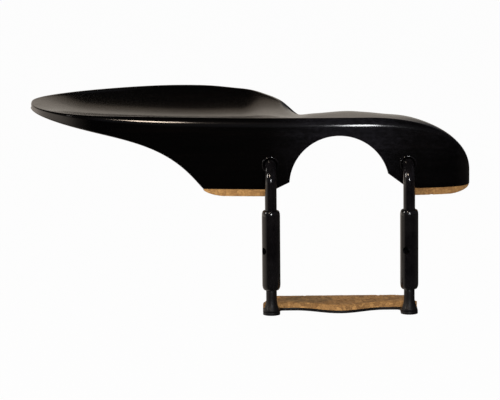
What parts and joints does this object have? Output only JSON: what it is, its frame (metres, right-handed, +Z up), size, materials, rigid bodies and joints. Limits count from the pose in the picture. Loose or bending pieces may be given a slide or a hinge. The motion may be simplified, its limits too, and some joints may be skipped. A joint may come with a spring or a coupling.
{
  "type": "violin chinrest",
  "caption": "Over-tailpiece violin chinrest: a black wooden side cup and bridge on corked feet, held by a turnbuckle clamp with a corked lower plate.",
  "frame": {"origin": "under the middle of the bridge, on the front face of the wood, at the height of the foot corks' undersides, which rest on the instrument's top", "axes": "+X from the cup towards the short foot, +Y from the tail end of the instrument towards its scroll, +Z up"},
  "size_m": [0.125, 0.0721, 0.0555],
  "materials": {
    "black_wood": "polished dark wood",
    "foot_cork": "fine cork, matte",
    "clamp_cork": "worn cork, matte",
    "black_steel": "gloss black"
  },
  "bodies": {
    "rest": {"chinrest_body": "black_wood", "left_foot_cork": "foot_cork", "right_foot_cork": "foot_cork", "left_hook_insert": "black_steel", "right_hook_insert": "black_steel", "left_hook": "black_steel", "right_hook": "black_steel"},
    "clamp": {"clamp_plate": "black_steel", "left_post": "black_steel", "right_post": "black_steel", "clamp_cork": "clamp_cork"},
    "left_barrel": {"left_barrel": "black_steel"},
    "right_barrel": {"right_barrel": "black_steel"}
  },
  "joints": [
    {"name": "left_barrel_turn", "type": "hinge", "parent": "rest", "child": "left_barrel", "pos_m": [-0.0193, -0.0048, -0.01425], "axis": [0, 0, 1], "range_deg": [-361, 3061]},
    {"name": "right_barrel_turn", "type": "hinge", "parent": "rest", "child": "right_barrel", "pos_m": [0.0193, -0.0048, -0.01425], "axis": [0, 0, 1], "range_deg": [-361, 3061]},
    {"name": "clamp_slide", "type": "slide", "parent": "rest", "child": "clamp", "axis": [0, 0, -1], "range_m": [-0.001, 0.0085]}
  ],
  "couplings": [
    {"joint": "left_barrel_turn", "follows": "clamp_slide", "rad_per_m": 6283.2},
    {"joint": "right_barrel_turn", "follows": "clamp_slide", "rad_per_m": 6283.2}
  ]
}
